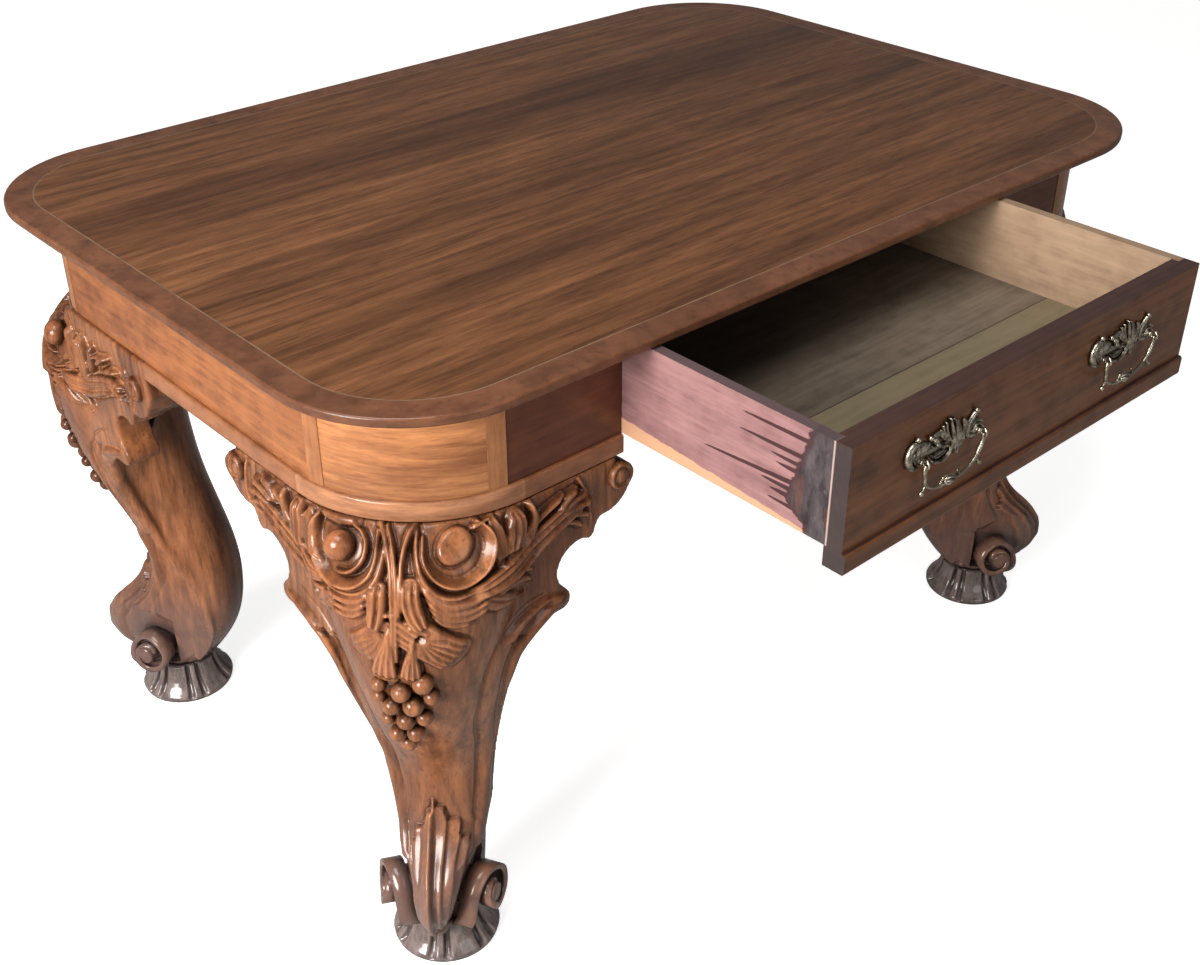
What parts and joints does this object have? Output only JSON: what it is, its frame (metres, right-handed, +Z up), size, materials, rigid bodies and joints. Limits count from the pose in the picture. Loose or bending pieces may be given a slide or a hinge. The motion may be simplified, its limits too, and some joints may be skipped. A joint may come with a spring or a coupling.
{
  "type": "writing desk",
  "caption": "Writing desk with an inlaid round-cornered top, a curved apron, carved scroll-footed legs and a wide drawer with swinging brass pulls.",
  "frame": {"origin": "on the floor, under the middle of the top", "axes": "+X along the desk, to the right when the drawer is faced; +Z up; the drawer opens towards -Y"},
  "size_m": [1.268, 1.1302, 0.76],
  "materials": {
    "top_walnut": "satin",
    "stringing": "satin",
    "border_walnut": "satin",
    "apron_walnut": "satin",
    "band_walnut": "satin",
    "carved_walnut": "gloss",
    "pad_walnut": "gloss",
    "inner_wood": "matt",
    "drawer_walnut": "satin",
    "drawer_side_wood": "matt",
    "drawer_lining": "matt",
    "iron": "dull",
    "antique_brass": "aged"
  },
  "bodies": {
    "desk": {"top_field": "top_walnut", "top_stringing": "stringing", "top_border_front": "border_walnut", "top_border_back": "border_walnut", "top_border_left": "border_walnut", "top_border_right": "border_walnut", "top_border_corners": "border_walnut", "apron_front_left": "apron_walnut", "apron_front_right": "apron_walnut", "apron_back": "apron_walnut", "apron_left": "apron_walnut", "apron_right": "apron_walnut", "corner_panel_front_left": "apron_walnut", "corner_panel_front_right": "apron_walnut", "corner_panel_back_left": "apron_walnut", "corner_panel_back_right": "apron_walnut", "apron_stiles": "apron_walnut", "band_front_left": "band_walnut", "band_front_right": "band_walnut", "band_corner_left": "band_walnut", "band_corner_right": "band_walnut", "band_left": "band_walnut", "band_right": "band_walnut", "band_back": "band_walnut", "leg_front_left": "carved_walnut", "leg_front_right": "carved_walnut", "leg_back_left": "carved_walnut", "leg_back_right": "carved_walnut", "foot_front_left": "pad_walnut", "foot_front_right": "pad_walnut", "foot_back_left": "pad_walnut", "foot_back_right": "pad_walnut", "wing_front_left_face": "carved_walnut", "wing_front_left_side": "carved_walnut", "wing_front_right_face": "carved_walnut", "wing_front_right_side": "carved_walnut", "wing_back_left_face": "carved_walnut", "wing_back_left_side": "carved_walnut", "wing_back_right_face": "carved_walnut", "wing_back_right_side": "carved_walnut", "corner_blocks": "inner_wood", "glue_blocks": "inner_wood", "drawer_cheek_left": "inner_wood", "drawer_cheek_right": "inner_wood", "runner_left": "inner_wood", "runner_right": "inner_wood", "drawer_stops": "inner_wood"},
    "drawer": {"drawer_front": "drawer_walnut", "drawer_base_strip": "drawer_walnut", "drawer_side_left": "drawer_side_wood", "drawer_side_right": "drawer_side_wood", "drawer_back": "drawer_lining", "drawer_bottom": "drawer_lining", "drawer_nails": "iron", "pull_plate_left": "antique_brass", "pull_plate_right": "antique_brass", "pull_posts": "antique_brass"},
    "bail_left": {"bail_left": "antique_brass"},
    "bail_right": {"bail_right": "antique_brass"}
  },
  "joints": [
    {"name": "drawer_slide", "type": "slide", "parent": "desk", "child": "drawer", "axis": [0, -1, 0], "range_m": [-0.2935, 0.11]},
    {"name": "bail_left_swing", "type": "hinge", "parent": "drawer", "child": "bail_left", "pos_m": [-0.1675, -0.6935, 0.698], "axis": [-1, 0, 0], "range_deg": [-12, 110]},
    {"name": "bail_right_swing", "type": "hinge", "parent": "drawer", "child": "bail_right", "pos_m": [0.1335, -0.6935, 0.698], "axis": [-1, 0, 0], "range_deg": [-12, 110]}
  ]
}
